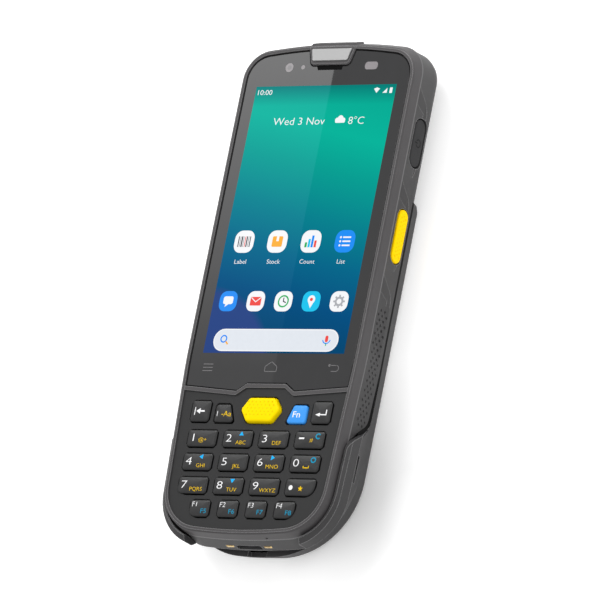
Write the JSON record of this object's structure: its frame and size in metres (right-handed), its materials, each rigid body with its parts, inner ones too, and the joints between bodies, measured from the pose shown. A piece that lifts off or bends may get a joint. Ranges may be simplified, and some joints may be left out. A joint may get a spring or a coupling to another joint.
{
  "type": "handheld barcode data terminal",
  "caption": "Rugged handheld data terminal with a touch screen over a sprung keypad, scan keys, a window for the scanner and a lift-off battery cover.",
  "frame": {"origin": "middle of the footprint, on the surface that the back rests on", "axes": "+X to the terminal's right as seen from the screen, +Y to the scanner end, +Z out of the screen"},
  "size_m": [0.0672, 0.1625, 0.0209],
  "materials": {
    "housing_plastic": "finely textured charcoal polycarbonate blend",
    "cover_plastic": "finely textured charcoal polycarbonate blend",
    "black_key_plastic": "smooth black key caps with printed legends",
    "yellow_plastic": "satin yellow plastic",
    "blue_plastic": "satin blue plastic",
    "touch_glass": "glossy cover glass with a black printed border",
    "display_stack": "display laminated under the glass",
    "satin_plate": "satin silver plate",
    "module_plastic": "black moulded plastic",
    "steel_mesh": "fine dark mesh",
    "lens_glass": "dark tinted window",
    "frosted_plastic": "frosted clear plastic",
    "circuit_board": "solder-masked circuit board",
    "silicone": "soft silicone",
    "light_alloy": "die-cast light alloy",
    "sheet_steel": "nickel-plated sheet steel",
    "battery_shell": "dark battery casing",
    "gilded_contacts": "gold-plated contacts",
    "screw_steel": "blackened steel screws"
  },
  "bodies": {
    "terminal": {"battery": "battery_shell", "battery_contacts": "gilded_contacts", "bay_seal": "silicone", "camera_lens": "lens_glass", "card_socket": "sheet_steel", "charging_connector": "sheet_steel", "display_module": "display_stack", "dock_contacts": "gilded_contacts", "earpiece": "module_plastic", "earpiece_mesh": "steel_mesh", "flash_lens": "frosted_plastic", "front_camera": "module_plastic", "front_housing": "housing_plastic", "housing_screws": "screw_steel", "keypad_board": "circuit_board", "keypad_sheet": "silicone", "led_light_pipe": "frosted_plastic", "light_sensor": "lens_glass", "mainboard": "circuit_board", "microphone": "sheet_steel", "mid_frame": "light_alloy", "nameplate": "satin_plate", "rear_camera": "module_plastic", "rear_housing": "housing_plastic", "scan_engine": "module_plastic", "scan_window": "lens_glass", "shield_cans": "sheet_steel", "speaker": "module_plastic", "speaker_mesh": "steel_mesh", "switch_board_left": "circuit_board", "switch_board_right": "circuit_board", "touch_glass": "touch_glass", "vibration_motor": "sheet_steel"},
    "key_0": {"key_0": "black_key_plastic"},
    "key_1": {"key_1": "black_key_plastic"},
    "key_2": {"key_2": "black_key_plastic"},
    "key_3": {"key_3": "black_key_plastic"},
    "key_4": {"key_4": "black_key_plastic"},
    "key_5": {"key_5": "black_key_plastic"},
    "key_6": {"key_6": "black_key_plastic"},
    "key_7": {"key_7": "black_key_plastic"},
    "key_8": {"key_8": "black_key_plastic"},
    "key_9": {"key_9": "black_key_plastic"},
    "key_backspace": {"key_backspace": "black_key_plastic"},
    "key_dot": {"key_dot": "black_key_plastic"},
    "key_enter": {"key_enter": "black_key_plastic"},
    "key_f1": {"key_f1": "black_key_plastic"},
    "key_f2": {"key_f2": "black_key_plastic"},
    "key_f3": {"key_f3": "black_key_plastic"},
    "key_f4": {"key_f4": "black_key_plastic"},
    "key_function": {"key_function": "blue_plastic"},
    "key_letter_case": {"key_letter_case": "black_key_plastic"},
    "key_minus": {"key_minus": "black_key_plastic"},
    "key_scan": {"key_scan": "yellow_plastic"},
    "scan_trigger_right": {"scan_trigger_right": "yellow_plastic"},
    "scan_trigger_left": {"scan_trigger_left": "yellow_plastic"},
    "power_key": {"power_key": "housing_plastic"},
    "volume_rocker": {"volume_rocker": "housing_plastic"},
    "battery_cover": {"battery_cover": "cover_plastic"}
  },
  "joints": [
    {"name": "key_0_press", "type": "slide", "parent": "terminal", "child": "key_0", "axis": [0, 0, -1], "range_m": [0, 0.0006], "stiffness_N_per_m": 400, "springref_m": -0.001},
    {"name": "key_1_press", "type": "slide", "parent": "terminal", "child": "key_1", "axis": [0, 0, -1], "range_m": [0, 0.0006], "stiffness_N_per_m": 400, "springref_m": -0.001},
    {"name": "key_2_press", "type": "slide", "parent": "terminal", "child": "key_2", "axis": [0, 0, -1], "range_m": [0, 0.0006], "stiffness_N_per_m": 400, "springref_m": -0.001},
    {"name": "key_3_press", "type": "slide", "parent": "terminal", "child": "key_3", "axis": [0, 0, -1], "range_m": [0, 0.0006], "stiffness_N_per_m": 400, "springref_m": -0.001},
    {"name": "key_4_press", "type": "slide", "parent": "terminal", "child": "key_4", "axis": [0, 0, -1], "range_m": [0, 0.0006], "stiffness_N_per_m": 400, "springref_m": -0.001},
    {"name": "key_5_press", "type": "slide", "parent": "terminal", "child": "key_5", "axis": [0, 0, -1], "range_m": [0, 0.0006], "stiffness_N_per_m": 400, "springref_m": -0.001},
    {"name": "key_6_press", "type": "slide", "parent": "terminal", "child": "key_6", "axis": [0, 0, -1], "range_m": [0, 0.0006], "stiffness_N_per_m": 400, "springref_m": -0.001},
    {"name": "key_7_press", "type": "slide", "parent": "terminal", "child": "key_7", "axis": [0, 0, -1], "range_m": [0, 0.0006], "stiffness_N_per_m": 400, "springref_m": -0.001},
    {"name": "key_8_press", "type": "slide", "parent": "terminal", "child": "key_8", "axis": [0, 0, -1], "range_m": [0, 0.0006], "stiffness_N_per_m": 400, "springref_m": -0.001},
    {"name": "key_9_press", "type": "slide", "parent": "terminal", "child": "key_9", "axis": [0, 0, -1], "range_m": [0, 0.0006], "stiffness_N_per_m": 400, "springref_m": -0.001},
    {"name": "key_backspace_press", "type": "slide", "parent": "terminal", "child": "key_backspace", "axis": [0, 0, -1], "range_m": [0, 0.0006], "stiffness_N_per_m": 400, "springref_m": -0.001},
    {"name": "key_dot_press", "type": "slide", "parent": "terminal", "child": "key_dot", "axis": [0, 0, -1], "range_m": [0, 0.0006], "stiffness_N_per_m": 400, "springref_m": -0.001},
    {"name": "key_enter_press", "type": "slide", "parent": "terminal", "child": "key_enter", "axis": [0, 0, -1], "range_m": [0, 0.0006], "stiffness_N_per_m": 400, "springref_m": -0.001},
    {"name": "key_f1_press", "type": "slide", "parent": "terminal", "child": "key_f1", "axis": [0, 0, -1], "range_m": [0, 0.0006], "stiffness_N_per_m": 400, "springref_m": -0.001},
    {"name": "key_f2_press", "type": "slide", "parent": "terminal", "child": "key_f2", "axis": [0, 0, -1], "range_m": [0, 0.0006], "stiffness_N_per_m": 400, "springref_m": -0.001},
    {"name": "key_f3_press", "type": "slide", "parent": "terminal", "child": "key_f3", "axis": [0, 0, -1], "range_m": [0, 0.0006], "stiffness_N_per_m": 400, "springref_m": -0.001},
    {"name": "key_f4_press", "type": "slide", "parent": "terminal", "child": "key_f4", "axis": [0, 0, -1], "range_m": [0, 0.0006], "stiffness_N_per_m": 400, "springref_m": -0.001},
    {"name": "key_function_press", "type": "slide", "parent": "terminal", "child": "key_function", "axis": [0, 0, -1], "range_m": [0, 0.0006], "stiffness_N_per_m": 400, "springref_m": -0.001},
    {"name": "key_letter_case_press", "type": "slide", "parent": "terminal", "child": "key_letter_case", "axis": [0, 0, -1], "range_m": [0, 0.0006], "stiffness_N_per_m": 400, "springref_m": -0.001},
    {"name": "key_minus_press", "type": "slide", "parent": "terminal", "child": "key_minus", "axis": [0, 0, -1], "range_m": [0, 0.0006], "stiffness_N_per_m": 400, "springref_m": -0.001},
    {"name": "key_scan_press", "type": "slide", "parent": "terminal", "child": "key_scan", "axis": [0, 0, -1], "range_m": [0, 0.0006], "stiffness_N_per_m": 400, "springref_m": -0.001},
    {"name": "scan_trigger_right_press", "type": "slide", "parent": "terminal", "child": "scan_trigger_right", "axis": [-1, 0, 0], "range_m": [0, 0.0006], "stiffness_N_per_m": 800, "springref_m": -0.001},
    {"name": "scan_trigger_left_press", "type": "slide", "parent": "terminal", "child": "scan_trigger_left", "axis": [1, 0, 0], "range_m": [0, 0.0006], "stiffness_N_per_m": 800, "springref_m": -0.001},
    {"name": "power_key_press", "type": "slide", "parent": "terminal", "child": "power_key", "axis": [-1, 0, 0], "range_m": [0, 0.0006], "stiffness_N_per_m": 800, "springref_m": -0.001},
    {"name": "volume_rocker_tilt", "type": "hinge", "parent": "terminal", "child": "volume_rocker", "pos_m": [-0.0285, 0.0493, 0.0107], "axis": [0, 0, 1], "range_deg": [-2.5, 2.5], "stiffness_Nm_per_rad": 0.15},
    {"name": "battery_cover_lift", "type": "slide", "parent": "terminal", "child": "battery_cover", "axis": [0, 0, -1], "range_m": [0, 0.03]}
  ]
}
